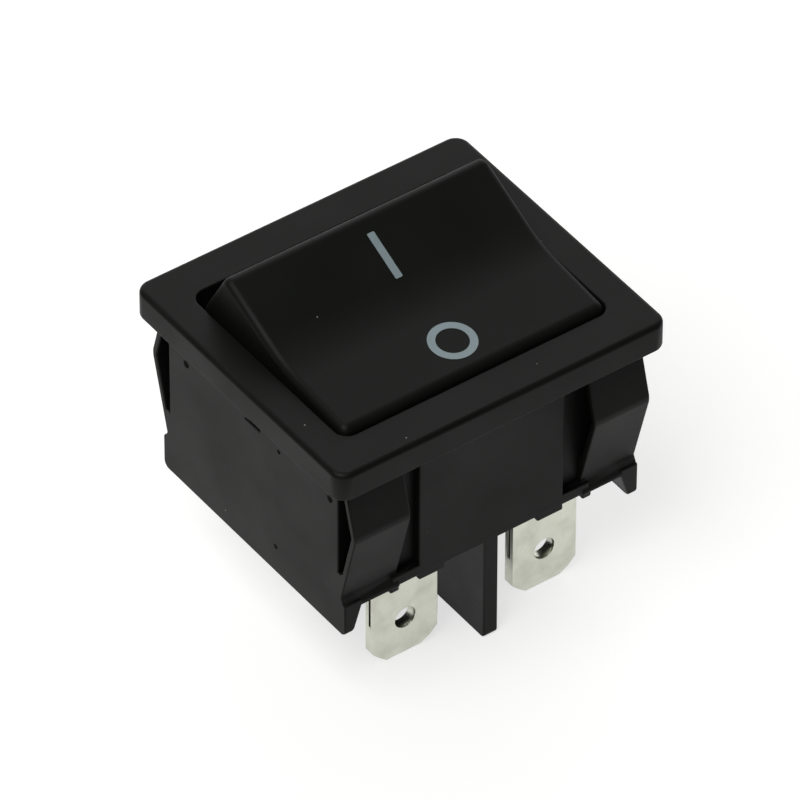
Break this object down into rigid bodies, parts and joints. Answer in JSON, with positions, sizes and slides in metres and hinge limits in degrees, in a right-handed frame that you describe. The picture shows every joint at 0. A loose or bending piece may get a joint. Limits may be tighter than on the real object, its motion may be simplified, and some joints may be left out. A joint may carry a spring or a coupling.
{
  "type": "rocker switch",
  "caption": "Black panel-mount double-pole rocker switch with a rectangular bezel, a dished I/O rocker, snap-in arms and quick-connect tabs parted by a barrier.",
  "frame": {"origin": "middle of the bezel's underside, where it seats on the panel", "axes": "+Z out of the panel towards the user, +X along the bezel's longer side and the rocker's pivot, +Y towards the I end"},
  "size_m": [0.024, 0.021, 0.0234],
  "materials": {
    "black_plastic": "satin moulded polyamide",
    "tinned_brass": "tin-plated brass strip, satin",
    "copper": "rolled copper strip",
    "silver": "silver contact alloy",
    "spring_steel": "drawn wire",
    "nylon": "natural nylon"
  },
  "bodies": {
    "base": {"housing": "black_plastic", "common_terminal_a": "tinned_brass", "common_terminal_b": "tinned_brass", "fixed_terminal_a": "tinned_brass", "fixed_terminal_b": "tinned_brass", "fixed_contact_a": "silver", "fixed_contact_b": "silver"},
    "rocker": {"rocker": "black_plastic", "spring_a": "spring_steel", "spring_b": "spring_steel"},
    "plunger_a": {"plunger_a": "nylon"},
    "blade_a": {"contact_blade_a": "copper", "moving_contact_a": "silver"},
    "plunger_b": {"plunger_b": "nylon"},
    "blade_b": {"contact_blade_b": "copper", "moving_contact_b": "silver"}
  },
  "joints": [
    {"name": "rocker_tilt", "type": "hinge", "parent": "base", "child": "rocker", "pos_m": [0, 0, -0.0015], "axis": [-1, 0, 0], "range_deg": [0, 30]},
    {"name": "plunger_a_slide", "type": "slide", "parent": "rocker", "child": "plunger_a", "axis": [0, -0.2588, 0.9659], "range_m": [0, 0.0005], "stiffness_N_per_m": 400, "springref_m": -0.002, "deforming": ["spring_a"]},
    {"name": "blade_a_tilt", "type": "hinge", "parent": "base", "child": "blade_a", "pos_m": [-0.00515, 0, -0.00795], "axis": [1, 0, 0], "range_deg": [0, 16]},
    {"name": "plunger_b_slide", "type": "slide", "parent": "rocker", "child": "plunger_b", "axis": [0, -0.2588, 0.9659], "range_m": [0, 0.0005], "stiffness_N_per_m": 400, "springref_m": -0.002, "deforming": ["spring_b"]},
    {"name": "blade_b_tilt", "type": "hinge", "parent": "base", "child": "blade_b", "pos_m": [0.00515, 0, -0.00795], "axis": [1, 0, 0], "range_deg": [0, 16]}
  ],
  "couplings": [
    {"joint": "blade_a_tilt", "follows": "rocker_tilt", "ratio": 0.5333},
    {"joint": "blade_b_tilt", "follows": "rocker_tilt", "ratio": 0.5333}
  ]
}
